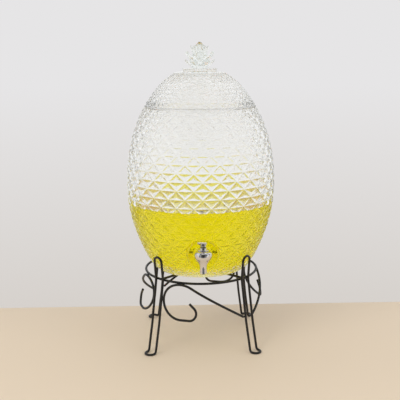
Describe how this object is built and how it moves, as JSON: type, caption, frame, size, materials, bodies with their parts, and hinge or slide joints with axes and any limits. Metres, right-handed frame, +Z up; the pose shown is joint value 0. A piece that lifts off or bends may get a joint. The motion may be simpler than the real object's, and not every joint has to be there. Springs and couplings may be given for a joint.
{
  "type": "glass beverage dispenser",
  "caption": "Egg-shaped star-cut glass jar with a domed lid and crown finial, a lever tap and a scrolled wire stand.",
  "frame": {"origin": "on the table under the middle of the object's box, 11.28 mm in front of the stand's and jar's upright axis", "axes": "+Z up, -Y the front where the tap is, +X to the viewer's right"},
  "size_m": [0.2604, 0.283, 0.5282],
  "materials": {
    "jar_glass": "pressed star-cut relief outside, smooth inside, clear",
    "lid_glass": "pressed star-cut relief outside, smooth inside, clear",
    "crown_glass": "pressed and fire polished, clear",
    "tap_plating": "bright chrome plating on moulded plastic",
    "steel": "drawn stainless steel",
    "washer_rubber": "moulded translucent white silicone, matte",
    "nut_plastic": "moulded natural white plastic",
    "wire_coat": "black powder coat on steel wire, soft semi-gloss"
  },
  "bodies": {
    "stand": {"support_ring": "wire_coat", "leg_front_left": "wire_coat", "leg_front_right": "wire_coat", "leg_rear_left": "wire_coat", "leg_rear_right": "wire_coat", "scroll_front": "wire_coat", "scroll_right": "wire_coat", "scroll_rear": "wire_coat", "scroll_left": "wire_coat", "brace_through": "wire_coat", "brace_half_front_right": "wire_coat", "brace_half_rear_left": "wire_coat"},
    "jar": {"jar": "jar_glass", "spigot_body": "tap_plating", "bonnet": "tap_plating", "return_spring": "steel", "outer_washer": "washer_rubber", "inner_washer": "washer_rubber", "lock_nut": "nut_plastic"},
    "lid": {"lid": "lid_glass", "crown_knob": "crown_glass"},
    "valve": {"valve_stem": "steel", "valve_seal": "washer_rubber"},
    "lever": {"lever": "tap_plating", "lever_pin": "steel"}
  },
  "joints": [
    {"name": "jar_lift", "type": "slide", "parent": "stand", "child": "jar", "axis": [0, 0, 1], "range_m": [0, 0.08]},
    {"name": "lid_lift", "type": "slide", "parent": "jar", "child": "lid", "axis": [0, 0, 1], "range_m": [0, 0.08]},
    {"name": "valve_slide", "type": "slide", "parent": "jar", "child": "valve", "axis": [0, 0, 1], "range_m": [0, 0.0035], "stiffness_N_per_m": 100, "springref_m": -0.004, "deforming": ["return_spring"]},
    {"name": "lever_tilt", "type": "hinge", "parent": "valve", "child": "lever", "pos_m": [0, -0.12372, 0.2047], "axis": [-0.9848, 0.1736, 0], "range_deg": [0, 90]}
  ],
  "couplings": [
    {"joint": "lever_tilt", "follows": "valve_slide", "rad_per_m": 448.79}
  ]
}
